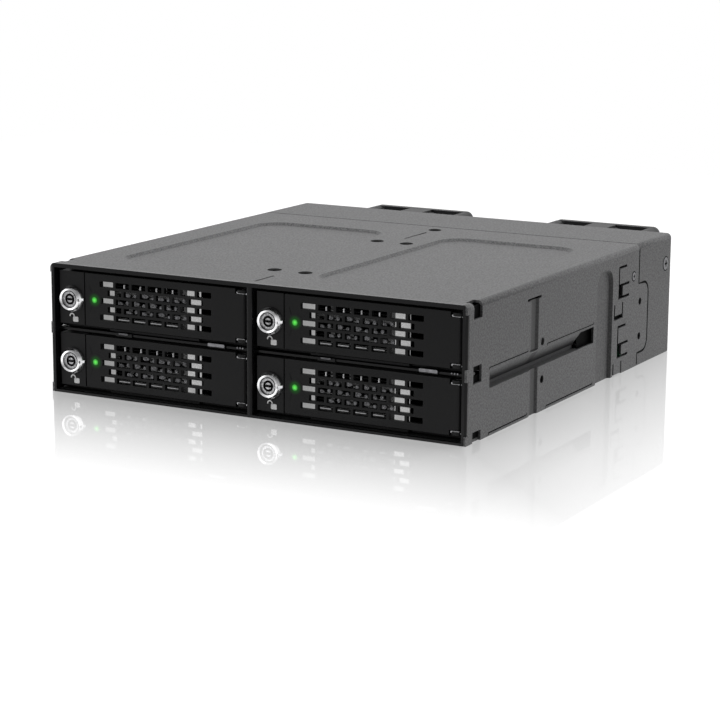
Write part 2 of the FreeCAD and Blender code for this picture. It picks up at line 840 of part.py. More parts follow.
def vent_slots():
    """Staggered rows of slots: odd rows have one more than even rows."""
    slots = []
    for row in range(slot_rows):
        z = (row - (slot_rows - 1) / 2) * slot_row_pitch
        start = split_x + first_slot + (slot_pitch / 2 if row % 2 else 0)
        for i in range(slots_per_row - row % 2):
            x = start + i * slot_pitch
            slots.append(box(x, x + slot_length, face_setback - past, face_rear + past,
                             z - slot_height / 2, z + slot_height / 2))
    return slots


def hook():
    """The hook on the door that the key's tongue swings into from below."""
    x, half = split_x + hook_from_split, hook_height / 2
    front, rear = tongue_y - run_gap, tongue_rear + run_gap
    arm = box(x, x + hook_thickness, face_rear, rear + hook_wall, -lock_drop - half, -lock_drop + half)
    mouth = box(x - past, x + hook_thickness + past, front, rear, -lock_drop - half - past,
                -lock_drop + tongue_width / 2 + run_gap)
    return arm.cut(mouth)


def door():
    """The vented lever door: plate, rims, hinge knuckle and the hook that the lock holds."""
    left = split_x + split_gap / 2
    notch_x = pin_x - ear_width / 2 - run_gap
    panel = box(left, notch_x, face_setback, face_rear, -face_top, face_top)
    strap = box(notch_x - past, pin_x, face_setback, face_rear, -knuckle_half, knuckle_half)
    rim_rear, edge = face_rear + rim_depth - door_plate, rim_width / 2
    top = box(left + edge, notch_x - edge, face_rear, rim_rear, face_top - rim_width, face_top)
    side = box(left, left + rim_width, face_rear, rim_rear, -face_top + edge, face_top - edge)
    rims = [top, moved(top, z=rim_width - face_height), side]
    knuckle = rod(knuckle_radius, (pin_x, pin_y, -knuckle_half), (0, 0, 1), 2 * knuckle_half)
    body = panel.fuse([strap, knuckle, hook()] + rims)
    pin_hole = rod(pin_radius + running, (pin_x, pin_y, -face_top), (0, 0, 1), face_height)
    lens_hole = rod(indicator_radius, (split_x + indicator_from_split, 0, 0), (0, 1, 0), face_rear + past)
    return body.cut(vent_slots() + [pin_hole, lens_hole]).removeSplitter()


def hinge_pin():
    return rod(pin_radius, (pin_x, pin_y, -ear_high), (0, 0, 1), 2 * ear_high)


def indicator():
    """The lens of the light, seated in its hole in the door."""
    x, y = split_x + indicator_from_split, face_setback - indicator_proud
    return rod(indicator_radius, (x, y, 0), (0, 1, 0), face_rear + indicator_proud - y)


def screen():
    """The plated inner screen: solid at its ends, with rows of windows in the middle."""
    y0, y1 = screen_back, screen_back + screen_thickness
    x0 = split_x + screen_from_split
    half = face_top - frame_bar
    height = (2 * (half - screen_edge) - (screen_rows - 1) * screen_rib) / screen_rows
    windows = []
    for row in range(screen_rows):
        z = screen_edge - half + row * (height + screen_rib)
        start = x0 + screen_end + (screen_stagger if row % 2 else 0)
        for i in range(screen_columns):
            x = start + i * screen_pitch
            windows.append(box(x, x + slot_length, y0 - past, y1 + past, z, z + height))
    return box(x0, x0 + screen_width, y0, y1, -half, half).cut(windows)


def lock_barrel():
    """The domed push-button barrel round the key plug, turned in one piece."""
    bore = key_radius + running
    crown = bore + 0.85
    profile = [Vector(bore, lock_front + 0.4, 0), Vector(crown, lock_front, 0),
               Vector(lock_radius, lock_front + 1.5, 0), Vector(lock_radius, lock_rear, 0),
               Vector(bore, lock_rear, 0)]
    face = Part.Face(Part.makePolygon(profile + [profile[0]]))
    barrel = face.revolve(Vector(0, 0, 0), Vector(0, 1, 0), 360)
    half = keyway_width / 2
    notch = box(crown, lock_radius + past, lock_front - past, lock_front + 2 * past, -half, half)
    return moved(barrel.cut(notch), x=lock_x, z=-lock_drop).removeSplitter()


def key_plug():
    """The turning core: keyway in front, tail and tongue behind."""
    front = lock_front + key_setback
    plug = rod(key_radius, (0, front, 0), (0, 1, 0), lock_rear - front)
    half = keyway_width / 2
    keyway = box(-key_radius * 0.7, key_radius * 0.7, front - past, front + keyway_depth, -half, half)
    tail = rod(tail_radius, (0, lock_rear, 0), (0, 1, 0), tongue_rear - lock_rear)
    half = tongue_width / 2
    tongue = box(-half, half, tongue_y, tongue_rear, -tongue_length, half)
    return moved(plug.cut(keyway).fuse([tail, tongue]), x=lock_x, z=-lock_drop).removeSplitter()


def build_cage():
    save("main_cover", main_cover())
    save("rear_cover", rear_cover())
    save("bottom_plate", bottom_plate())
    save("rear_panel", rear_panel())
    save("front_frame", front_frame())
    save("centre_wall", centre_wall())
    save("outer_rail_right", outer_rail())
    save("outer_rail_left", mirrored(outer_rail()))
    inner_rail = rail(wall_thickness / 2, 1)
    save("inner_rail_right", inner_rail)
    save("inner_rail_left", mirrored(inner_rail))
    save("backplane", backplane())
    save("backplane_bracket", backplane_bracket())
    save("drive_sockets", *[moved(drive_socket(), x, 0, z) for x, z in bays().values()])
    save("port_board", port_board())
    save("riser_board", riser_board())
    save("host_ports", *[connector(x, port_level, port_width, port_height) for x in port_centres()])
    save("power_inlets", *[connector(port_middle, z, inlet_width, inlet_height) for z in inlet_levels])


def build_fans():
    for name, x in (("left", fan_left_x), ("right", fan_right_x)):
        save(f"fan_frame_{name}", moved(fan_frame(), x, case_depth, case_height / 2))
        save(f"fan_rotor_{name}", moved(fan_rotor(), x, case_depth, case_height / 2))


def bays():
    return {"upper_left": (-tray_x, upper_z), "upper_right": (tray_x, upper_z),
            "lower_left": (-tray_x, lower_z), "lower_right": (tray_x, lower_z)}


def build_trays():
    pieces = {"carrier": carrier(), "bezel": bezel(), "door": door(), "hinge_pin": hinge_pin(),
              "indicator": indicator(), "screen": screen(), "lock_barrel": lock_barrel(),
              "key_plug": key_plug()}
    for bay, (x, z) in bays().items():
        for piece, shape in pieces.items():
            save(f"{bay}_{piece}", moved(shape, x, 0, z))


build_cage()
build_fans()
build_trays()
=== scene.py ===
import math

import bmesh
import bpy
from mathutils import Matrix, Vector

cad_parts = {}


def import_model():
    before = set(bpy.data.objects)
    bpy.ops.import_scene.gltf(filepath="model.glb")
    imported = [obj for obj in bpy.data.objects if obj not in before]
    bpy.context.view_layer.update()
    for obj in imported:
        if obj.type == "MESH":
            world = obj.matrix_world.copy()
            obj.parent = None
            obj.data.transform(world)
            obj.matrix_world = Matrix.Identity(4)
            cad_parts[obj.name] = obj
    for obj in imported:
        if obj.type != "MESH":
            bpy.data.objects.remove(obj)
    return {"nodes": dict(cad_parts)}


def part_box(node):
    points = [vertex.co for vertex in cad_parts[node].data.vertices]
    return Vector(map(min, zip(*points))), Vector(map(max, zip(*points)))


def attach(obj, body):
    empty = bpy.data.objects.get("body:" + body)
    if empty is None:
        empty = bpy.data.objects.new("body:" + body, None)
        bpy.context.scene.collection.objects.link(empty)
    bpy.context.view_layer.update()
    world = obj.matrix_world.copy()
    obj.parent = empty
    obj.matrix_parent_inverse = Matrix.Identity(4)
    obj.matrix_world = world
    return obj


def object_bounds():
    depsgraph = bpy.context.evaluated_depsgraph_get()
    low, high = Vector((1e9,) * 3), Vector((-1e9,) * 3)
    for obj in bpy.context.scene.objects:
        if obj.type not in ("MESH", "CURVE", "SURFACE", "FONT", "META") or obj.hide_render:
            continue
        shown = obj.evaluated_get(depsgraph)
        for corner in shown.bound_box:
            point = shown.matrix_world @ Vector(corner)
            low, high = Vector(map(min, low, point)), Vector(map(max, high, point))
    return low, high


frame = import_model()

# The hot swap drive cage: finishes for the CAD pieces, small pieces that ride on them, and the
# floor, lamps and camera. Sizes below are in millimetres unless a comment says otherwise, and
# places along Y are counted rearwards from the front plane
MM = 0.001
cad_box = [list(corner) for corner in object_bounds()]
NODES = frame["nodes"]
BAYS = ("upper_left", "upper_right", "lower_left", "lower_right")
HANDS = ((1, "right"), (-1, "left"))
CORNERS = ((1, 1), (-1, 1), (-1, -1), (1, -1))

# Places taken from the frame, in metres: the main cover's high corner, the front plane, the
# rear cover's end and the floor
CASE_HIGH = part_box("main_cover")[1]
FRONT_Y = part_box("front_frame")[0].y
COVER_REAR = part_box("rear_cover")[1].y
FLOOR_Z = cad_box[0][2]

# The case's paint, with painted shade: it is darker where a side is pressed inwards, between the
# depths at which the painted shade fades out, with its share of light at the deepest. Panels that
# face forwards and the groove carry darker painted shade still. The skins say how far below its top or
# side the case counts as flat
PAINT_DARK = (0.056, 0.056, 0.057)
PAINT_LIGHT = (0.160, 0.160, 0.163)
PAINT_GRAIN = 1700.0
PRESSED_DEPTHS = (2.9, 0.2)
DEEPEST_SHADE = 0.06
PRESSED_FROM = 14.0
FORWARD_NORMALS = (-0.5, -0.12)
GROOVE_RUN = (45.0, 50.0)
GROOVE_SOFT = 0.6
DARKER_SHADE = 0.3
ROOF_SKIN = 2.4
SIDE_SKIN = 0.12


# Node trees
class Tree:
    """A short way to write a node tree."""

    def __init__(self, tree):
        self.tree = tree
        self.tree.nodes.clear()

    def add(self, kind, **settings):
        node = self.tree.nodes.new(kind)
        for key, value in settings.items():
            setattr(node, key, value)
        return node

    def link(self, source, target):
        self.tree.links.new(source, target)

    def fill(self, node, **values):
        """Set a node's inputs by name."""
        for key, value in values.items():
            node.inputs[key.replace("_", " ")].default_value = value

    def maths(self, operation, first, second):
        """One arithmetic step on two sockets or values."""
        node = self.add("ShaderNodeMath", operation=operation)
        for socket, value in zip(node.inputs, (first, second)):
            if isinstance(value, (int, float)):
                socket.default_value = value
            else:
                self.link(value, socket)
        return node.outputs[0]

    def spread(self, value, low, high, from_low=0.0, from_high=1.0):
        """Map a value from one range to another, clamped at both ends."""
        node = self.add("ShaderNodeMapRange")
        self.fill(node, From_Min=from_low, From_Max=from_high, To_Min=low, To_Max=high)
        self.link(value, node.inputs["Value"])
        return node.outputs[0]

    def split(self, vector):
        node = self.add("ShaderNodeSeparateXYZ")
        self.link(vector, node.inputs[0])
        return node.outputs

    def seen(self):
        """1 on the rays that show the background: camera, glossy and transmission rays."""
        path = self.add("ShaderNodeLightPath")
        seen = self.maths("MAXIMUM", path.outputs["Is Camera Ray"], path.outputs["Is Glossy Ray"])
        return self.maths("MAXIMUM", seen, path.outputs["Is Transmission Ray"])


class Paint(Tree):
    """The node tree of one material, with its shader."""

    def __init__(self, name):
        self.material = bpy.data.materials.new(name)
        self.material.use_nodes = True
        super().__init__(self.material.node_tree)
        self.output = self.add("ShaderNodeOutputMaterial")
        self.shader = self.add("ShaderNodeBsdfPrincipled")
        self.link(self.shader.outputs[0], self.output.inputs["Surface"])
        self.place = self.add("ShaderNodeTexCoord").outputs["Object"]

    def set(self, **values):
        self.fill(self.shader, **values)

    def drive(self, name, source):
        """Feed one of the shader's inputs."""
        self.link(source, self.shader.inputs[name])

    def noise(self, scale, detail=2.0, roughness=0.5, stretch=None):
        """Noise at so many cycles a metre, in the object's own space."""
        source = self.place
        if stretch:
            mapping = self.add("ShaderNodeMapping")
            mapping.inputs["Scale"].default_value = stretch
            self.link(self.place, mapping.inputs["Vector"])
            source = mapping.outputs[0]
        node = self.add("ShaderNodeTexNoise")
        self.fill(node, Scale=scale, Detail=detail, Roughness=roughness)
        self.link(source, node.inputs["Vector"])
        return node.outputs["Fac"]

    def colours(self, value, first, second, low=0.0, high=1.0):
        """A ramp from one colour to another between two levels of a value."""
        node = self.add("ShaderNodeValToRGB")
        stops = node.color_ramp.elements
        for stop, level, colour in zip(stops, (low, high), (first, second)):
            stop.position = level
            stop.color = (*colour, 1)
        self.link(value, node.inputs["Fac"])
        return node.outputs["Color"]

    def multiplied(self, first, second, factor):
        node = self.add("ShaderNodeMix", data_type="RGBA", blend_type="MULTIPLY")
        node.inputs["Factor"].default_value = factor
        self.link(first, node.inputs[6])
        self.link(second, node.inputs[7])
        return node.outputs[2]

    def bump(self, height, strength, distance):
        node = self.add("ShaderNodeBump")
        self.fill(node, Strength=strength, Distance=distance)
        self.link(height, node.inputs["Height"])
        self.drive("Normal", node.outputs[0])

    def in_box(self):
        """The place in the piece's own box, 0 to 1 along each side."""
        return self.add("ShaderNodeTexCoord").outputs["Generated"]

    def from_middle(self):
        """The place in the piece's own box, counted from its middle."""
        node = self.add("ShaderNodeVectorMath", operation="SUBTRACT")
        self.link(self.in_box(), node.inputs[0])
        node.inputs[1].default_value = (0.5, 0.5, 0.5)
        return node.outputs[0]

    def from_centre(self):
        """Distance from the middle of a round piece in its own box, 0.5 at its rim."""
        flat = self.add("ShaderNodeVectorMath", operation="MULTIPLY")
        self.link(self.from_middle(), flat.inputs[0])
        flat.inputs[1].default_value = (1, 0, 1)
        length = self.add("ShaderNodeVectorMath", operation="LENGTH")
        self.link(flat.outputs[0], length.inputs[0])
        return length.outputs["Value"]

    def rearward(self, kind):
        """How far a normal points to the rear, -1 to 1."""
        return self.split(self.add("ShaderNodeNewGeometry").outputs[kind])["Y"]

    def faces_forward(self):
        """1 where the surface faces the front, 0 elsewhere."""
        return self.maths("LESS_THAN", self.rearward("Normal"), -0.3)

    def between(self, value, low, high, soft):
        """1 inside a range and 0 outside it, with soft ends."""
        rise = self.spread(value, 0.0, 1.0, low, low + soft)
        fall = self.spread(value, 1.0, 0.0, high - soft, high)
        return self.maths("MULTIPLY", rise, fall)

    def painted_shade_inside(self, colour):
        """Painted shade: paint made darker where the side is pressed inwards, on panels that face forwards
        and in the groove, but not on the roof.
        """
        place = self.split(self.place)
        across = self.maths("ABSOLUTE", place["X"], 0.0)
        deep, shallow = (CASE_HIGH.x - depth * MM for depth in PRESSED_DEPTHS)
        depth = self.spread(across, DEEPEST_SHADE, 1.0, deep, shallow)
        is_roof = self.maths("GREATER_THAN", place["Z"], CASE_HIGH.z - ROOF_SKIN * MM)
        # Painted shade on the far side of each pressed panel, which faces forwards, away from the light
        forward = self.spread(self.rearward("True Normal"), 1.0, 0.0, *FORWARD_NORMALS)
        behind_front = self.maths("GREATER_THAN", place["Y"], FRONT_Y + PRESSED_FROM * MM)
        away = self.maths("MULTIPLY", forward, behind_front)
        pressed = self.maths("LESS_THAN", across, CASE_HIGH.x - SIDE_SKIN * MM)
        start, end = (FRONT_Y + y * MM for y in GROOVE_RUN)
        in_groove = self.between(place["Y"], start, end, GROOVE_SOFT * MM)
        groove = self.maths("MULTIPLY", pressed, in_groove)
        dark = self.spread(self.maths("MAXIMUM", away, groove), 1.0, DARKER_SHADE)
        shade = self.maths("MAXIMUM", self.maths("MULTIPLY", depth, dark), is_roof)
        return self.multiplied(colour, shade, 1.0)


# Materials
def textured_paint(name, roughness):
    """Sheet metal paint with a fine even grain, and painted shade where the side is pressed inwards."""
    m = Paint(name)
    speckle = m.noise(PAINT_GRAIN, 2.0, 0.6)
    base = m.colours(speckle, PAINT_DARK, PAINT_LIGHT, 0.36, 0.64)
    cloud = m.colours(m.noise(45.0), (0.86, 0.86, 0.86), (1.0, 1.0, 1.0), 0.35, 0.7)
    m.drive("Base Color", m.painted_shade_inside(m.multiplied(base, cloud, 0.35)))
    m.drive("Roughness", m.spread(speckle, roughness - 0.05, roughness + 0.08))
    m.set(Specular_IOR_Level=0.3)
    m.bump(speckle, 0.1, 0.00006)
    return m.material


def smooth_black(name, shade, roughness, grain=2600.0, bump=0.06, specular=0.22):
    """Moulded or painted black with a faint grain and uneven gloss."""
    m = Paint(name)
    fine = m.noise(grain)
    smudge = m.noise(60.0, 3.0, 0.6)
    lighter = tuple(c * 1.35 for c in shade)
    m.drive("Base Color", m.colours(fine, shade, lighter, 0.35, 0.7))
    m.drive("Roughness", m.spread(smudge, roughness - 0.06, roughness + 0.1))
    m.set(Specular_IOR_Level=specular)
    m.bump(fine, bump, 0.00004)
    return m.material


def plated(name, dark, light, roughness, stretch=(1, 1, 1), scale=900.0, glow=0.0):
    """Bare or plated metal with a fine directional finish, with a weak painted glow if asked to."""
    m = Paint(name)
    m.set(Metallic=1.0)
    grain = m.noise(scale, 3.0, 0.6, stretch)
    tone = m.colours(grain, dark, light, 0.3, 0.75)
    m.drive("Base Color", tone)
    if glow:
        m.drive("Emission Color", tone)
        m.set(Emission_Strength=glow)
    m.drive("Roughness", m.spread(m.noise(120.0), roughness - 0.07, roughness + 0.1))
    m.bump(grain, 0.05, 0.00003)
    return m.material


def circuit_board(name):
    """Green solder mask with tracks under it."""
    m = Paint(name)
    bricks = m.add("ShaderNodeTexBrick")
    m.fill(bricks, Scale=260.0, Mortar_Size=0.06, Color1=(0.010, 0.075, 0.035, 1),
           Color2=(0.014, 0.095, 0.045, 1), Mortar=(0.035, 0.17, 0.08, 1))
    mapping = m.add("ShaderNodeMapping")
    mapping.inputs["Rotation"].default_value = (math.pi / 2, 0, 0)
    m.link(m.place, mapping.inputs["Vector"])
    m.link(mapping.outputs[0], bricks.inputs["Vector"])
    m.drive("Base Color", bricks.outputs["Color"])
    m.drive("Roughness", m.spread(m.noise(300.0), 0.3, 0.45))
    m.bump(bricks.outputs["Fac"], 0.1, 0.00005)
    return m.material


def indicator_light(name):
    """A green lens, brightest in its middle, that shines forwards only."""
    m = Paint(name)
    radius = m.maths("ADD", m.from_centre(), m.spread(m.noise(1800.0, 1.0), -0.03, 0.03))
    glow = m.colours(radius, (0.07, 0.66, 0.05), (0.0, 0.13, 0.0), 0.08, 0.5)
    m.drive("Base Color", glow)
    m.drive("Emission Color", glow)
    m.drive("Emission Strength", m.maths("MULTIPLY", m.faces_forward(), 0.75))
    m.set(Roughness=0.3)
    return m.material


def indicator_halo(name):
    """Black plastic with a painted green glow of the indicator's light, fading out at the rim."""
    m = Paint(name)
    fine = m.noise(3400.0)
    m.drive("Base Color", m.colours(fine, (0.006, 0.006, 0.0063), (0.008, 0.008, 0.0085), 0.35, 0.7))
    m.set(Roughness=0.42, Specular_IOR_Level=0.12, Emission_Color=(0.0, 0.10, 0.0, 1))
    fade = m.spread(m.from_centre(), 1.0, 0.0, 0.12, 0.47)
    m.drive("Emission Strength", m.maths("POWER", fade, 1.6))
    return m.material


def screen_plate(name):
    """Pale plate at both ends of the screen, with painted shade over its middle, behind the door, and a
    painted glow on the pale ends where they face forwards.
    """
    m = Paint(name)
    along = m.split(m.in_box())["X"]
    # Shares of the plate's width outside which it is pale; between them it carries painted shade
    left, right = 0.118, 0.862
    pale = m.maths("MAXIMUM", m.maths("LESS_THAN", along, left), m.maths("GREATER_THAN", along, right))
    grain = m.spread(m.noise(900.0, 3.0, 0.6), 0.85, 1.1)
    painted_shade_and_grain = m.maths("MULTIPLY", m.spread(pale, 0.14, 0.72), grain)
    m.drive("Base Color", painted_shade_and_grain)
    m.drive("Metallic", m.spread(pale, 0.5, 0.0))
    m.drive("Roughness", m.spread(m.noise(120.0), 0.35, 0.55))
    # Painted glow on the pale ends, where they face forwards
    m.drive("Emission Color", painted_shade_and_grain)
    m.drive("Emission Strength", m.maths("MULTIPLY", m.spread(pale, 0.0, 0.42), m.faces_forward()))
    return m.material


def turned_chrome(name):
    """Polished chrome on a turned dome, with painted reflections: dark and light bands by angle round its
    middle.
    """
    m = Paint(name)
    m.set(Metallic=1.0)
    place = m.split(m.from_middle())
    angle = m.maths("ARCTAN2", place["Z"], place["X"])
    uneven = m.maths("ADD", angle, m.spread(m.noise(260.0), -0.5, 0.5))
    # Painted reflections: the number of dark and light bands round the dome, and their turn
    bands, turn = 2.0, 2.6
    painted_reflection = m.maths("SINE", m.maths("ADD", m.maths("MULTIPLY", uneven, bands), turn), 0.0)
    fine = m.noise(2200.0)
    level = m.maths("ADD", m.spread(painted_reflection, 0.0, 1.0, -1.0, 1.0), m.spread(fine, -0.12, 0.12))
    m.drive("Base Color", m.colours(level, (0.24, 0.24, 0.245), (0.90, 0.90, 0.91), 0.15, 0.75))
    m.drive("Roughness", m.spread(m.noise(120.0), 0.12, 0.26))
    m.bump(fine, 0.04, 0.00003)
    return m.material


def turned_core(name):
    """The key core's rough turned metal."""
    m = Paint(name)
    m.set(Metallic=1.0)
    grain = m.noise(2600.0, 3.0, 0.7)
    m.drive("Base Color", m.colours(grain, (0.10, 0.10, 0.102), (0.48, 0.48, 0.49), 0.35, 0.7))
    m.drive("Roughness", m.spread(m.noise(700.0), 0.22, 0.42))
    m.bump(grain, 0.2, 0.00005)
    return m.material


def printed_white(name):
    m = Paint(name)
    m.drive("Base Color", m.colours(m.noise(3500.0), (0.62, 0.62, 0.62), (0.78, 0.78, 0.78), 0.3, 0.7))
    m.set(Roughness=0.55)
    return m.material


COVER = textured_paint("cover_paint", 0.5)
REAR = textured_paint("rear_paint", 0.52)
GLOSS = smooth_black("frame_black", (0.006, 0.006, 0.0065), 0.2, specular=0.14)
FACE = smooth_black("front_plastic", (0.006, 0.006, 0.0063), 0.4, 3400.0, 0.12, 0.12)
TRAY = smooth_black("tray_black", (0.008, 0.008, 0.0085), 0.45, specular=0.1)
FAN = smooth_black("fan_plastic", (0.012, 0.012, 0.013), 0.45)
HOUSING = smooth_black("fan_housing", (0.05, 0.05, 0.051), 0.55, specular=0.25)
# The case's paint made a little darker, as painted shade in the side slots' troughs
TROUGH = smooth_black("slot_painted_shade", (0.085, 0.085, 0.087), 0.6, PAINT_GRAIN)
MOULDED = smooth_black("connector_plastic", (0.014, 0.014, 0.015), 0.35)
ZINC = plated("zinc_plate", (0.26, 0.265, 0.27), (0.46, 0.465, 0.47), 0.4, (1, 0.12, 1))
STEEL = plated("turned_steel", (0.42, 0.42, 0.43), (0.68, 0.68, 0.69), 0.3, (1, 6, 1), 1500.0)
CHROME = turned_chrome("lock_chrome")
BLACK_SCREW = plated("blackened_steel", (0.05, 0.05, 0.052), (0.12, 0.12, 0.125), 0.38)
# Near black, as painted shade in grooves, gaps, countersinks, flanges and the roof screws' heads
PAINTED_SHADE = smooth_black("painted_shade_black", (0.002, 0.002, 0.002), 0.6, specular=0.02)
SCREW_STEEL = plated("screw_steel", (0.10, 0.10, 0.105), (0.20, 0.20, 0.21), 0.4)
# Pale metal caps on the door's pivots, as painted highlights
PIVOT_HIGHLIGHT = plated("pivot_highlight", (0.16, 0.16, 0.165), (0.36, 0.36, 0.37), 0.32)
# The guard's webs and bright edges glow weakly as painted light, where they stand in shade behind the door
WEB = plated("guard_web", (0.05, 0.05, 0.052), (0.26, 0.26, 0.27), 0.45, scale=2600.0, glow=0.16)
TICK = plated("guard_edge", (0.45, 0.45, 0.46), (0.70, 0.70, 0.71), 0.4, glow=0.3)
PLATE = screen_plate("screen_plate")
HALO = indicator_halo("indicator_halo")
CORE = turned_core("turned_core")
BOARD = circuit_board("circuit_board")
GREEN = indicator_light("indicator_green")
INK = printed_white("printed_ink")
GOLD = plated("gold_contact", (0.75, 0.52, 0.16), (0.95, 0.72, 0.30), 0.25)

# The CAD pieces' finishes: by name, then by the end of the name, then for the fans
FINISH = {
    "main_cover": COVER, "rear_cover": REAR, "bottom_plate": COVER, "rear_panel": COVER,
    "front_frame": GLOSS, "backplane": BOARD, "port_board": BOARD, "riser_board": BOARD,
    "drive_sockets": MOULDED, "host_ports": MOULDED, "power_inlets": MOULDED,
    # The centre wall takes the trays' black, as painted shade where it shows under the roof
    "centre_wall": TRAY,
}
PIECE_FINISH = {"carrier": TRAY, "screen": PLATE, "bezel": FACE, "door": FACE, "hinge_pin": STEEL,
                "indicator": GREEN, "lock_barrel": CHROME, "key_plug": CORE}
BEVEL = {"main_cover": 0.10, "rear_cover": 0.12, "front_frame": 0.14, "door": 0.13, "bezel": 0.14,
         "lock_barrel": 0.06, "key_plug": 0.06, "fan_frame": 0.12, "carrier": 0.08, "screen": 0.06}


def paint(obj, material):
    if not obj.data.materials:
        obj.data.materials.append(material)
    for i in range(len(obj.data.materials)):
        obj.data.materials[i] = material


def soften(node, width):
    """Join the imported mesh's split corners and round its edges a little."""
    weld = node.modifiers.new("weld", "WELD")
    weld.merge_threshold = 1e-6
    bevel = node.modifiers.new("bevel", "BEVEL")
    bevel.width = width * MM
    bevel.segments = 2
    bevel.limit_method = "ANGLE"
    bevel.angle_limit = math.radians(35)
    bevel.harden_normals = False
    bevel.use_clamp_overlap = True


def finish_for(name):
    if name in FINISH:
        return FINISH[name]
    for piece, material in PIECE_FINISH.items():
        if name.endswith(piece):
            return material
    if name.startswith("fan_"):
        return HOUSING if "frame" in name else FAN
    return ZINC


for name, node in NODES.items():
    paint(node, finish_for(name))
    for key, width in BEVEL.items():
        if name == key or name.endswith("_" + key) or name.startswith(key + "_"):
            soften(node, width)
            break


# Small builders, which work in metres
def mesh_piece(name, build, material, body):
    """A new mesh made by build(bm), riding on a body."""
    mesh = bpy.data.meshes.new(name)
    bm = bmesh.new()
    build(bm)
    bm.normal_update()
    bm.to_mesh(mesh)
    bm.free()
    obj = bpy.data.objects.new(name, mesh)
    bpy.context.collection.objects.link(obj)
    paint(obj, material)
    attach(obj, body)


def middle_of(name):
    """The centre of a piece's box."""
    low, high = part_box(name)
    return (low + high) / 2


def circle(steps):
    """The cosine and sine of evenly spaced angles, once round."""
    angles = [2 * math.pi * i / steps for i in range(steps)]
    return [(math.cos(a), math.sin(a)) for a in angles]


def join_loops(bm, loops):
    """Faces between each loop of vertices and the next."""
    for near, far in zip(loops, loops[1:]):
        for i in range(len(near)):
            j = (i + 1) % len(near)
            bm.faces.new((near[i], near[j], far[j], far[i]))


def add_prism(bm, outline, y0, y1):
    """A closed prism from an XZ outline, between two depths."""
    near = [bm.verts.new((x, y0, z)) for x, z in outline]
    far = [bm.verts.new((x, y1, z)) for x, z in outline]
    bm.faces.new(near)
    bm.faces.new(far[::-1])
    join_loops(bm, (far, near))


def add_disc(bm, rings, steps=32):
    """A turned solid from its profile of (radius, height) pairs, closed at both ends."""
    loops = [[bm.verts.new((radius * c, radius * s, height)) for c, s in circle(steps)]
             for radius, height in rings]
    join_loops(bm, loops)
    bm.faces.new(loops[-1])
    bm.faces.new(loops[0][::-1])


def add_block(bm, x0, x1, y0, y1, z0, z1):
    """A block between three pairs of planes, each in either order."""
    matrix = Matrix.Translation(((x0 + x1) / 2, (y0 + y1) / 2, (z0 + z1) / 2))
    size = Matrix.Diagonal((abs(x1 - x0), abs(y1 - y0), abs(z1 - z0), 1))
    bmesh.ops.create_cube(bm, size=1, matrix=matrix @ size)


def add_ribbon(bm, path, half, low, high):
    """A thin strip along (y, z) points in millimetres, between two planes of x in metres."""
    loops = []
    for i, point in enumerate(path):
        before, after = path[max(i - 1, 0)], path[min(i + 1, len(path) - 1)]
        along = Vector((after[0] - before[0], after[1] - before[1])).normalized()
        across = Vector((-along.y, along.x)) * half
        loops.append([bm.verts.new((x, FRONT_Y + (point[0] + side * across.x) * MM,
                                    (point[1] + side * across.y) * MM))
                      for x, side in ((low, 1), (low, -1), (high, -1), (high, 1))])
    join_loops(bm, loops)
    bm.faces.new(loops[0][::-1])
    bm.faces.new(loops[-1])
    bmesh.ops.recalc_face_normals(bm, faces=bm.faces)


def rounded(cx, cz, width, height, radius, steps=4):
    """The outline of a rectangle with rounded corners."""
    points = []
    for quarter, (sx, sz) in enumerate(CORNERS):
        ox, oz = cx + sx * (width / 2 - radius), cz + sz * (height / 2 - radius)
        for i in range(steps + 1):
            a = math.radians(90 * quarter + 90 * i / steps)
            points.append((ox + radius * math.cos(a), oz + radius * math.sin(a)))
    return points


def placed(centre, outward):
    """The transform that stands a piece drawn along Z on a face at a centre."""
    turn = Vector(outward).to_track_quat("Z", "Y").to_matrix().to_4x4()
    return Matrix.Translation(centre) @ turn


# The open padlock printed under each lock, placed from the lock's axis and lower edge, and
# its shackle from the middle of its body. It swings out to the upper left
PADLOCK_ASIDE = 1.2
PADLOCK_BELOW = 2.25
PADLOCK_BODY = (2.0, 1.65)
PADLOCK_CORNER = 0.3
SHACKLE_ASIDE = -1.35
SHACKLE_ABOVE = 0.95
SHACKLE_RADII = (0.97, 0.59)
SHACKLE_FOOT = 0.6
SHACKLE_TURN = 190
SHACKLE_STEPS = 14
INK_HALF = 0.03


def padlock(bay):
    lock = f"{bay}_lock_barrel"
    cx = middle_of(lock).x + PADLOCK_ASIDE * MM
    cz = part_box(lock)[0].z - PADLOCK_BELOW * MM
    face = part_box(f"{bay}_door")[0].y
    depths = (face - INK_HALF * MM, face + INK_HALF * MM)

    def build(bm):
        width, height = (size * MM for size in PADLOCK_BODY)
        add_prism(bm, rounded(cx, cz, width, height, PADLOCK_CORNER * MM), *depths)
        sx, sz = cx + SHACKLE_ASIDE * MM, cz + SHACKLE_ABOVE * MM
        angles = [math.radians(SHACKLE_TURN * (1 - i / SHACKLE_STEPS)) for i in range(SHACKLE_STEPS + 1)]
        sides = []
        for radius in SHACKLE_RADII:
            arc = [(sx + radius * MM * math.cos(a), sz + radius * MM * math.sin(a)) for a in angles]
            sides.append(arc + [(sx + radius * MM, cz + SHACKLE_FOOT * MM)])
        outer, inner = sides
        add_prism(bm, outer + inner[::-1], *depths)

    mesh_piece(f"{bay}_padlock_symbol", build, INK, f"{bay}_tray")


# Near black rings of painted shade in the lock's face: inner and outer radius, and depth behind the
# barrel's front
CORE_GROOVE = (1.05, 1.75, 0.67)
BARREL_GROOVE = (2.55, 2.8, 0.28)
GROOVE_THICKNESS = 0.1
GROOVE_STEPS = 40


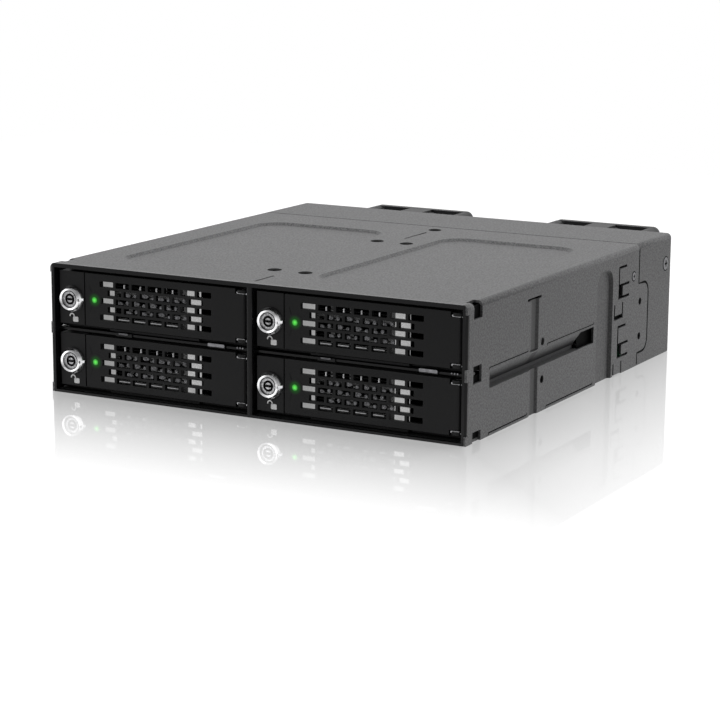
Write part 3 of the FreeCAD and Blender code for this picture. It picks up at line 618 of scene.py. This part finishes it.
def lock_face(bay):
    lock = f"{bay}_lock_barrel"
    centre, front = middle_of(lock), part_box(lock)[0].y

    def ring(inner, outer, depth):
        def build(bm):
            y0 = front + depth * MM
            y1 = y0 + GROOVE_THICKNESS * MM
            loops = [[bm.verts.new((centre.x + radius * MM * c, y, centre.z + radius * MM * s))
                      for c, s in circle(GROOVE_STEPS)]
                     for radius, y in ((inner, y0), (outer, y0), (outer, y1), (inner, y1))]
            join_loops(bm, loops + loops[:1])
            bmesh.ops.recalc_face_normals(bm, faces=bm.faces)
        return build

    mesh_piece(f"{bay}_core_groove", ring(*CORE_GROOVE), PAINTED_SHADE, f"{bay}_key")
    mesh_piece(f"{bay}_barrel_groove", ring(*BARREL_GROOVE), PAINTED_SHADE, f"{bay}_button")


# The stamped guard behind the door's slots, placed from the middle of the screen. It stands
# some way behind them, so each part is shifted to where the photograph's view shows it
SCREEN_ASIDE = 3.1
GUARD_SHIFT = (-2.5, -1.08)
GUARD_DEPTHS = (5.9, 6.4)
SLOT_ROWS = 5
SLOT_ROW_PITCH = 2.62
SLOT_PITCH = 6.0
FIRST_SLOT = -19.0
COLUMNS = range(1, 5)
# Webs, with a weak painted glow: aside, width and lift of the two in each slot of the middle rows, a
# little uneven
WEBS = ((1.2, 2.3, 0.3), (4.0, 1.0, -0.25))
WEB_HALF = 0.6
WEB_STEPS = 14
WEB_SWAY = 0.35
WEB_WAVES = (2.1, 1.7)
# Bars: from and to, half of the height, and how far they stand behind the webs
BAR_RUN = (-13.0, 11.0)
BAR_HALF = 0.12
BAR_BEHIND = 0.3
# Bright edges, pale metal with a painted glow as highlights: an upright in each top slot, and a level one
# under each bottom slot
UPRIGHT_ASIDE = 2.6
UPRIGHT_HALF = 0.11
UPRIGHT_LEVELS = (-0.75, 0.6)
LEVEL_RUN = (0.4, 4.3)
LEVEL_BELOW = 0.1
LEVEL_HALF = 0.13


def centre_of(bay):
    """The middle of the door's slots, on the front plane."""
    screen = middle_of(f"{bay}_screen")
    return Vector((screen.x + SCREEN_ASIDE * MM, FRONT_Y, screen.z))


def guard(bay):
    origin = centre_of(bay)
    y0, y1 = (FRONT_Y + y * MM for y in GUARD_DEPTHS)
    behind = BAR_BEHIND * MM
    top = (SLOT_ROWS // 2) * SLOT_ROW_PITCH

    def at(x, z):
        return origin.x + (x + GUARD_SHIFT[0]) * MM, origin.z + (z + GUARD_SHIFT[1]) * MM

    def webs(bm):
        for row in range(1, SLOT_ROWS - 1):
            level = row * SLOT_ROW_PITCH - top
            start = FIRST_SLOT + (SLOT_PITCH / 2 if row % 2 else 0.0)
            for i in COLUMNS:
                sway = WEB_SWAY * math.sin(WEB_WAVES[0] * i + row)
                wave = math.cos(WEB_WAVES[1] * i + row)
                for aside, width, lift in WEBS:
                    cx, cz = at(start + i * SLOT_PITCH + aside + sway, level + lift * wave)
                    outline = [(cx + width / 2 * MM * c, cz + WEB_HALF * MM * s)
                               for c, s in circle(WEB_STEPS)]
                    add_prism(bm, outline, y0, y1)

    def bars(bm):
        for row in range(SLOT_ROWS):
            x0, z = at(BAR_RUN[0], row * SLOT_ROW_PITCH - top)
            x1 = at(BAR_RUN[1], 0.0)[0]
            add_block(bm, x0, x1, y0 + behind, y1 + behind, z - BAR_HALF * MM, z + BAR_HALF * MM)

    def edges(bm):
        for i in COLUMNS:
            slot = FIRST_SLOT + i * SLOT_PITCH
            x, z = at(slot + UPRIGHT_ASIDE, top)
            low, high = (z + level * MM for level in UPRIGHT_LEVELS)
            add_block(bm, x - UPRIGHT_HALF * MM, x + UPRIGHT_HALF * MM, y0, y1, low, high)
            x0, z = at(slot + LEVEL_RUN[0], -top - LEVEL_BELOW)
            x1 = at(slot + LEVEL_RUN[1], 0.0)[0]
            add_block(bm, x0, x1, y0, y1, z - LEVEL_HALF * MM, z + LEVEL_HALF * MM)

    mesh_piece(f"{bay}_guard_bars", bars, TRAY, f"{bay}_tray")
    mesh_piece(f"{bay}_guard_webs", webs, WEB, f"{bay}_tray")
    mesh_piece(f"{bay}_guard_edges", edges, TICK, f"{bay}_tray")


# The door's plastic round the indicator, with a painted green glow of the indicator's light
HALO_RADIUS = 2.6
HALO_THICKNESS = 0.01
HALO_PROUD = 0.02
HALO_STEPS = 40


def halo(bay):
    light = middle_of(f"{bay}_indicator")
    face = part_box(f"{bay}_door")[0].y
    centre = Vector((light.x, face - HALO_PROUD * MM, light.z))

    def build(bm):
        radius = HALO_RADIUS * MM
        add_disc(bm, ((radius, 0.0), (radius, HALO_THICKNESS * MM)), HALO_STEPS)
        bm.transform(placed(centre, (0, -1, 0)))

    mesh_piece(f"{bay}_indicator_halo", build, HALO, f"{bay}_lever")


# Pivot caps at the ends of the door's hinge, pale metal as painted highlights on the pins, and
# the edge between them. A cap is a bar with a dot outside it: aside from the pin, lift, width, height,
# corner and depth proud
CAP_FROM_END = 0.9
CAP_PARTS = ((-0.3, 0.0, 2.9, 0.62, 0.3, 0.12), (1.75, -0.2, 0.5, 0.5, 0.22, 0.08))
CAP_SUNK = 0.2
EDGE_ASIDE = 0.62
EDGE_HALF = 0.09
EDGE_PROUD = 0.03
EDGE_SUNK = 0.1
EDGE_FROM_END = 1.5


def pivots(bay):
    low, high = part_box(f"{bay}_hinge_pin")
    cx = (low.x + high.x) / 2
    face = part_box(f"{bay}_door")[0].y

    def caps(bm):
        for end in (high.z - CAP_FROM_END * MM, low.z + CAP_FROM_END * MM):
            for aside, lift, width, height, corner, proud in CAP_PARTS:
                shape = rounded(cx + aside * MM, end + lift * MM, width * MM, height * MM, corner * MM)
                add_prism(bm, shape, face - proud * MM, face + CAP_SUNK * MM)

    def edge(bm):
        x = cx + EDGE_ASIDE * MM
        add_block(bm, x - EDGE_HALF * MM, x + EDGE_HALF * MM, face - EDGE_PROUD * MM,
                  face + EDGE_SUNK * MM, low.z + EDGE_FROM_END * MM, high.z - EDGE_FROM_END * MM)

    mesh_piece(f"{bay}_pivot_caps", caps, PIVOT_HIGHLIGHT, f"{bay}_lever")
    mesh_piece(f"{bay}_pivot_edge", edge, GLOSS, f"{bay}_lever")


# Screws: low heads with a cross recess in a countersink, the recess and countersink near black as
# painted shade, and the roof screws' heads near black as painted shade too. The cross is in shares of
# the head's radius, between two levels from the head's top. Roof screws stand at (x, y), side
# screws at (y, z), and rear screws at a distance from the rear cover's end and a height
HEAD_HEIGHT = 0.16
HEAD_LIP = 0.1
CROSS_ARM = 0.5
CROSS_HALF = 0.15
CROSS_LEVELS = (-0.08, 0.02)
SINK_RIM = 0.35
SINK_HEIGHT = 0.03
ROOF_SCREWS = ((5.5, 24.5), (-5.5, 24.5), (5.5, 91.5), (-5.5, 91.5), (0.0, 123.3))
ROOF_HEAD = 1.9
SIDE_SCREW = (125.8, 31.2)
SIDE_HEAD = 1.4
REAR_SCREW = (4.6, 31.4)
REAR_HEAD = 2.2
FAN_SCREW_HALF = 16.0
FAN_HEAD = 2.1
FAN_HEAD_SUNK = 0.15


def screw_head(name, centre, outward, radius, finish):
    matrix = placed(centre, outward)
    radius, height, lip = radius * MM, HEAD_HEIGHT * MM, HEAD_LIP * MM

    def head(bm):
        add_disc(bm, ((radius, -height), (radius, height - lip), (radius - lip, height)))
        bm.transform(matrix)

    def recess(bm):
        rim = radius + SINK_RIM * MM
        add_disc(bm, ((rim, -height), (rim, SINK_HEIGHT * MM)))
        arm, half = radius * CROSS_ARM, radius * CROSS_HALF
        low, high = (height + level * MM for level in CROSS_LEVELS)
        for along, across in ((arm, half), (half, arm)):
            add_block(bm, -along, along, -across, across, low, high)
        bm.transform(matrix)

    mesh_piece(name, head, finish, "cage")
    mesh_piece(name + "_recess", recess, PAINTED_SHADE, "cage")


def screws():
    for number, (x, y) in enumerate(ROOF_SCREWS):
        centre = Vector((x * MM, FRONT_Y + y * MM, CASE_HIGH.z))
        screw_head(f"roof_screw_{number + 1}", centre, (0, 0, 1), ROOF_HEAD, PAINTED_SHADE)
    for side, hand in HANDS:
        y, z = SIDE_SCREW
        centre = Vector((side * CASE_HIGH.x, FRONT_Y + y * MM, z * MM))
        screw_head(f"side_screw_{hand}", centre, (side, 0, 0), SIDE_HEAD, SCREW_STEEL)
        y, z = REAR_SCREW
        centre = Vector((side * CASE_HIGH.x, COVER_REAR - y * MM, z * MM))
        screw_head(f"rear_screw_{hand}", centre, (side, 0, 0), REAR_HEAD, SCREW_STEEL)
    for fan in ("left", "right"):
        frame_name = f"fan_frame_{fan}"
        middle, rear = middle_of(frame_name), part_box(frame_name)[1].y
        for number, (i, j) in enumerate(CORNERS):
            centre = Vector((middle.x + i * FAN_SCREW_HALF * MM, rear - FAN_HEAD_SUNK * MM,
                             middle.z + j * FAN_SCREW_HALF * MM))
            screw_head(f"fan_{fan}_screw_{number + 1}", centre, (0, 1, 0), FAN_HEAD,
                       BLACK_SCREW)


# Inner flanges of the chassis, which close off the cuts in the cover's sides, near black as painted shade:
# the depth of each one's two faces below the case's side, then y from and to, z from and to
FLANGES = {
    "corner_flange": ((0.9, 1.3), ((3.9, 11.8, 0.9, 19.6), (3.9, 11.8, 20.8, 40.2))),
    "clip_flange": ((1.05, 1.25), ((108.0, 124.0, 9.2, 37.5),)),
    "slot_flange": ((1.55, 1.75), ((82.3, 95.0, 13.4, 19.7),)),
}


def flanges():
    for name, (depths, areas) in FLANGES.items():
        for side, hand in HANDS:
            def build(bm):
                outer, inner = (side * (CASE_HIGH.x - depth * MM) for depth in depths)
                for y0, y1, z0, z1 in areas:
                    add_block(bm, outer, inner, FRONT_Y + y0 * MM, FRONT_Y + y1 * MM, z0 * MM, z1 * MM)

            mesh_piece(f"{name}_{hand}", build, PAINTED_SHADE, "cage")


# The seam between the covers: a near black line of painted shade over the roof, up to its bent
# edges, then round the tab on each side. Its halves are half of its width there. Two fold lines
# on each side, painted shade as well, in two runs each, have a short return at both ends
BEND_RADIUS = 1.6
SEAM_AT = 130.5
SEAM_HALVES = (0.22, 0.4)
SEAM_FOOT = 0.6
SEAM_STEP = 0.1
TAB_REACH = 8.6
TAB_LEVELS = (4.4, 28.0)
TAB_CORNER = 4.0
TAB_STEPS = 6
FOLD_LEVELS = (20.6, 1.0)
FOLD_RUNS = ((15.2, 42.0), (56.3, 92.5))
FOLD_RETURN = 0.7
FOLD_HALF = 0.16
LINE_SUNK = 0.1
LINE_PROUD = 0.02


def side_seam():
    """The seam's path on a side, as (y, z) from the roof down to the floor."""
    low, high = TAB_LEVELS
    path = [(SEAM_AT, CASE_HIGH.z / MM - BEND_RADIUS), (SEAM_AT, high + SEAM_STEP)]
    y = SEAM_AT + TAB_REACH - TAB_CORNER
    for z, start in ((high - TAB_CORNER, 90), (low + TAB_CORNER, 0)):
        for i in range(TAB_STEPS + 1):
            a = math.radians(start - 90 * i / TAB_STEPS)
            path.append((y + TAB_CORNER * math.cos(a), z + TAB_CORNER * math.sin(a)))
    return path + [(SEAM_AT, low - SEAM_STEP), (SEAM_AT, SEAM_FOOT)]


def seams():
    roof_half, side_half = SEAM_HALVES

    def build(bm):
        x, y, half = CASE_HIGH.x - BEND_RADIUS * MM, FRONT_Y + SEAM_AT * MM, roof_half * MM
        add_block(bm, -x, x, y - half, y + half,
                  CASE_HIGH.z - LINE_SUNK * MM, CASE_HIGH.z + LINE_PROUD * MM)
        for side, _ in HANDS:
            planes = [side * (CASE_HIGH.x + depth * MM) for depth in (-LINE_SUNK, LINE_PROUD)]
            add_ribbon(bm, side_seam(), side_half, *planes)
            for level in FOLD_LEVELS:
                for y0, y1 in FOLD_RUNS:
                    path = ((y0, level - FOLD_RETURN), (y0, level), (y1, level), (y1, level + FOLD_RETURN))
                    for ends in zip(path, path[1:]):
                        add_ribbon(bm, ends, FOLD_HALF, *planes)

    mesh_piece("cover_seam", build, PAINTED_SHADE, "cage")


# The trough below each side slot, in paint a little darker than the case's as painted shade: a
# level sill, and an upright at its inner edge
TROUGH_RUN = (15.4, 82.0)
TROUGH_DEPTHS = (0.9, 2.9)
TROUGH_LEVELS = (14.05, 15.7)
TROUGH_SHEET = 0.2


def troughs():
    near, far = TROUGH_DEPTHS
    low, high = (z * MM for z in TROUGH_LEVELS)
    y0, y1 = (FRONT_Y + y * MM for y in TROUGH_RUN)
    for side, hand in HANDS:
        def build(bm):
            outer, tip, inner = (side * (CASE_HIGH.x - depth * MM)
                                 for depth in (near, far, far + TROUGH_SHEET))
            add_block(bm, outer, tip, y0, y1, low, low + TROUGH_SHEET * MM)
            add_block(bm, tip, inner, y0, y1, low, high)

        mesh_piece(f"slot_trough_{hand}", build, TROUGH, "cage")


# Corner posts and edge pads of the fans, between their two flanges, and thin sheets of the fan's
# black plastic in the hollow spaces beside them, as painted shade. They keep clear of the duct that the
# rotor turns in
POST_FROM = 15.4
POST_CORNER = 2.2
PAD_HALF = 4.4
PAD_DEPTH = 0.8
DUCT_RADIUS = 19.3
FLANGE_DEPTH = 2.8
POST_INSET = 0.02
HOLLOW_INSET = 0.1
HOLLOW_STEPS = 8
HOLLOW_SKIN = (-0.08, 0.05)


def fan_posts():
    for fan in ("left", "right"):
        low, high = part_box(f"fan_frame_{fan}")
        middle = (low + high) / 2
        half = (high.x - low.x) / 2 - POST_INSET * MM
        y0, y1 = low.y + FLANGE_DEPTH * MM, high.y - FLANGE_DEPTH * MM

        def posts(bm):
            size = half - POST_FROM * MM
            reach = half - size / 2
            for i, j in CORNERS:
                shape = rounded(middle.x + i * reach, middle.z + j * reach, size, size, POST_CORNER * MM)
                add_prism(bm, shape, y0, y1)
            across, deep = PAD_HALF * MM, PAD_DEPTH * MM
            for i, j in ((1, 0), (0, 1), (-1, 0), (0, -1)):
                x, z = middle.x + i * half, middle.z + j * half
                add_block(bm, x - i * deep - j * across, x + j * across, y0, y1,
                          z - j * deep - i * across, z + i * across)

        def hollow_shade(bm):
            run = [PAD_HALF + (POST_FROM - PAD_HALF) * k / HOLLOW_STEPS for k in range(HOLLOW_STEPS + 1)]
            outline = [(x, math.sqrt(DUCT_RADIUS ** 2 - x * x)) for x in run]
            outline += [(x, half / MM - HOLLOW_INSET) for x in (POST_FROM, PAD_HALF)]
            for i in (1, -1):
                for j in (1, -1):
                    shape = [(middle.x + i * x * MM, middle.z + j * z * MM) for x, z in outline]
                    add_prism(bm, shape, *(y1 + depth * MM for depth in HOLLOW_SKIN))
            bmesh.ops.recalc_face_normals(bm, faces=bm.faces)

        mesh_piece(f"fan_{fan}_posts", posts, HOUSING, "cage")
        mesh_piece(f"fan_{fan}_hollows", hollow_shade, FAN, "cage")


# Gold contacts on both faces of each host port's tongue
PORT_COUNT = 4
PORT_PITCH = 7.6
PORT_WIDTH = 6.0
PORT_WALL = 0.9
CONTACT_COUNT = 13
CONTACT_PITCH = 0.8
CONTACT_HALF = 0.2
CONTACT_FACES = (-0.03, 1.17)
CONTACT_THICKNESS = 0.06
CONTACT_RUN = (-4.0, -0.3)


def contacts():
    low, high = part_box("host_ports")
    level = (low.z + high.z) / 2
    rear = high.y - PORT_WALL * MM
    y0, y1 = (rear + y * MM for y in CONTACT_RUN)

    def build(bm):
        for port in range(PORT_COUNT):
            tongue = low.x + (PORT_WIDTH / 2 + port * PORT_PITCH) * MM
            for i in range(CONTACT_COUNT):
                z = level + (i - CONTACT_COUNT // 2) * CONTACT_PITCH * MM
                for face in CONTACT_FACES:
                    x = tongue + face * MM
                    add_block(bm, x, x + CONTACT_THICKNESS * MM, y0, y1,
                              z - CONTACT_HALF * MM, z + CONTACT_HALF * MM)

    mesh_piece("host_port_contacts", build, GOLD, "cage")


# Small plated catches on the bar between the rows of trays, each as place, width and height,
# with a row of rivets beside them
CATCHES = ((23.5, 6.0, 0.95), (-10.6, 3.6, 0.4))
CATCH_CORNER = 0.28
CATCH_BELOW = 0.02
CATCH_DEPTHS = (1.75, 2.25)
RIVETS = (31.0, 31.95, 32.9)
RIVET_SIZE = 0.5
RIVET_CORNER = 0.24
RIVET_BEHIND = 0.2


def catches():
    y0, y1 = (FRONT_Y + y * MM for y in CATCH_DEPTHS)
    for _, hand in HANDS:
        upper, lower = (middle_of(f"{row}_{hand}_screen") for row in ("upper", "lower"))
        level = (upper.z + lower.z) / 2 - CATCH_BELOW * MM
        centre = centre_of(f"upper_{hand}")

        def build(bm):
            for x, width, height in CATCHES:
                shape = rounded(centre.x + x * MM, level, width * MM, height * MM, CATCH_CORNER * MM)
                add_prism(bm, shape, y0, y1)
            size = RIVET_SIZE * MM
            for x in RIVETS:
                shape = rounded(centre.x + x * MM, level, size, size, RIVET_CORNER * MM)
                add_prism(bm, shape, y0 + RIVET_BEHIND * MM, y1)

        mesh_piece(f"row_catches_{hand}", build, SCREW_STEEL, "cage")


for bay in BAYS:
    padlock(bay)
    lock_face(bay)
    guard(bay)
    halo(bay)
    pivots(bay)
screws()
flanges()
seams()
troughs()
fan_posts()
contacts()
catches()

# The floor, in metres: half its width, where it turns from lit to plain white away from the
# case, and how far its faint mirror reaches
FLOOR_HALF = 6.0
PLAIN_FROM, PLAIN_TO = 0.10, 0.45
MIRROR_REACH = 0.092
MIRROR_SHARE = 0.54
FLOOR_GREY = (0.45, 0.45, 0.45, 1)
FLOOR_GLOW = 0.76


def floor():
    """A white floor with the object's soft shadow and a faint mirror under it."""
    mesh = bpy.data.meshes.new("floor")
    corners = [(i * FLOOR_HALF, j * FLOOR_HALF, FLOOR_Z) for i, j in ((-1, -1), (1, -1), (1, 1), (-1, 1))]
    mesh.from_pydata(corners, [], [(0, 1, 2, 3)])
    obj = bpy.data.objects.new("floor", mesh)
    bpy.context.collection.objects.link(obj)
    m = Paint("floor_white")
    m.set(Roughness=0.9, Base_Color=FLOOR_GREY)

    def glow(strength):
        """Light that only the rays that show the background see."""
        node = m.add("ShaderNodeEmission")
        m.link(m.maths("MULTIPLY", m.seen(), strength), node.inputs["Strength"])
        return node.outputs[0]

    def mixed(share, first, second):
        node = m.add("ShaderNodeMixShader")
        for source, socket in zip((share, first, second), node.inputs):
            m.link(source, socket)
        return node.outputs[0]

    # Nearly white to the camera, with the object's soft shadow left in
    lit = m.add("ShaderNodeAddShader")
    m.link(m.shader.outputs[0], lit.inputs[0])
    m.link(glow(FLOOR_GLOW), lit.inputs[1])
    place = m.split(m.add("ShaderNodeNewGeometry").outputs["Position"])
    beyond_x = m.maths("SUBTRACT", m.maths("ABSOLUTE", place["X"], 0.0), CASE_HIGH.x)
    beyond_y = m.maths("SUBTRACT", m.maths("ABSOLUTE", place["Y"], 0.0), -FRONT_Y)
    far = m.maths("MAXIMUM", beyond_x, beyond_y)
    # Well away from the object it is plain white
    plain = mixed(m.spread(far, 0.0, 1.0, PLAIN_FROM, PLAIN_TO), lit.outputs[0], glow(1.0))
    # A faint mirror under the object, fading away from its footprint
    mirror = m.add("ShaderNodeBsdfGlossy")
    m.fill(mirror, Roughness=0.0, Color=(1, 1, 1, 1))
    share = m.spread(far, MIRROR_SHARE, 0.0, 0.0, MIRROR_REACH)
    m.link(mixed(share, plain, mirror.outputs[0]), m.output.inputs["Surface"])
    paint(obj, m.material)


def world():
    """Bright behind the object and dim in front of it, so that its front stays dark."""
    studio = bpy.data.worlds.new("studio")
    bpy.context.scene.world = studio
    studio.use_nodes = True
    w = Tree(studio.node_tree)
    output = w.add("ShaderNodeOutputWorld")
    background = w.add("ShaderNodeBackground")
    w.fill(background, Color=(1, 1, 1, 1))
    direction = w.split(w.add("ShaderNodeTexCoord").outputs["Generated"])
    around = w.spread(direction["Y"], 0.10, 1.0, -0.2, 0.7)
    w.link(w.maths("MAXIMUM", around, w.seen()), background.inputs["Strength"])
    w.link(background.outputs[0], output.inputs["Surface"])


def lamp(name, place, target, size, watts):
    """A rectangular lamp aimed at a target, in metres and watts."""
    data = bpy.data.lights.new(name, "AREA")
    data.shape = "RECTANGLE"
    data.size, data.size_y = size
    data.energy = watts
    obj = bpy.data.objects.new(name, data)
    bpy.context.collection.objects.link(obj)
    obj.location = place
    obj.rotation_euler = (Vector(target) - Vector(place)).to_track_quat("-Z", "Y").to_euler()


def camera():
    """The photograph's view, solved from the case's edges: place, axes and lens."""
    place = Vector((0.35193, -0.57449 + FRONT_Y, 0.15955))
    forward = Vector((-0.46902, 0.85887, -0.20583))
    right = Vector((0.87698, 0.48048, 0.00657))
    up = Vector((-0.10454, 0.17742, 0.97857))
    data = bpy.data.cameras.new("camera")
    data.sensor_width = 36.0
    data.lens = 114.16
    data.clip_start = 0.02
    obj = bpy.data.objects.new("camera", data)
    bpy.context.collection.objects.link(obj)
    axes = Matrix((right, up, -forward)).transposed()
    obj.matrix_world = Matrix.Translation(place) @ axes.to_4x4()
    bpy.context.scene.camera = obj


floor()
world()
lamp("overhead", (0.0, 0.35, 1.1), (0, 0, 0.02), (1.4, 1.0), 6.0)
lamp("right_rear", (0.65, 1.1, 0.5), (0.05, 0, 0.02), (0.4, 0.5), 1.2)
lamp("front_left", (-0.8, -1.3, 0.75), (0, -0.08, 0.02), (1.7, 1.1), 9.0)
camera()

scene = bpy.context.scene
scene.view_settings.view_transform = "Standard"
